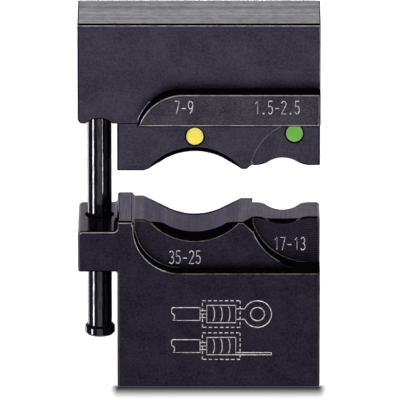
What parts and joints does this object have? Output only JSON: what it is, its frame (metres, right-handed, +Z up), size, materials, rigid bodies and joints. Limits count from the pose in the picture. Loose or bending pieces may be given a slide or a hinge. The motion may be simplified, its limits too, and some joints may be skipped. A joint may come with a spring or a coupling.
{
  "type": "crimp die",
  "caption": "Crimping die set in two steel halves joined by a sliding guide pin, with a wide and a narrow nest side by side and paint-filled marks.",
  "frame": {"origin": "centre of the bounding box, at the base that the lower half stands on", "axes": "+Z up along the guide pin, +Y to the back, away from the marked faces, +X to the right seen from the marked front, away from the guide pin"},
  "size_m": [0.025, 0.0104, 0.0389],
  "materials": {
    "black_steel": "black oxide over machined steel, satin, bright along worn edges",
    "pin_steel": "black oxide over ground steel, glossy",
    "yellow_paint": "yellow paint fill, gloss",
    "green_paint": "green paint fill, gloss"
  },
  "bodies": {
    "lower": {"lower_die": "black_steel"},
    "pin": {"guide_pin": "pin_steel"},
    "upper": {"upper_die": "black_steel", "yellow_dot": "yellow_paint", "green_dot": "green_paint"}
  },
  "joints": [
    {"name": "pin_slide", "type": "slide", "parent": "lower", "child": "pin", "axis": [0, 0, 1], "range_m": [-0.00488, 0.0074]},
    {"name": "upper_swivel", "type": "hinge", "parent": "pin", "child": "upper", "pos_m": [-0.0103, 0.001, 0.02815], "axis": [0, 0, 1], "continuous": true}
  ]
}
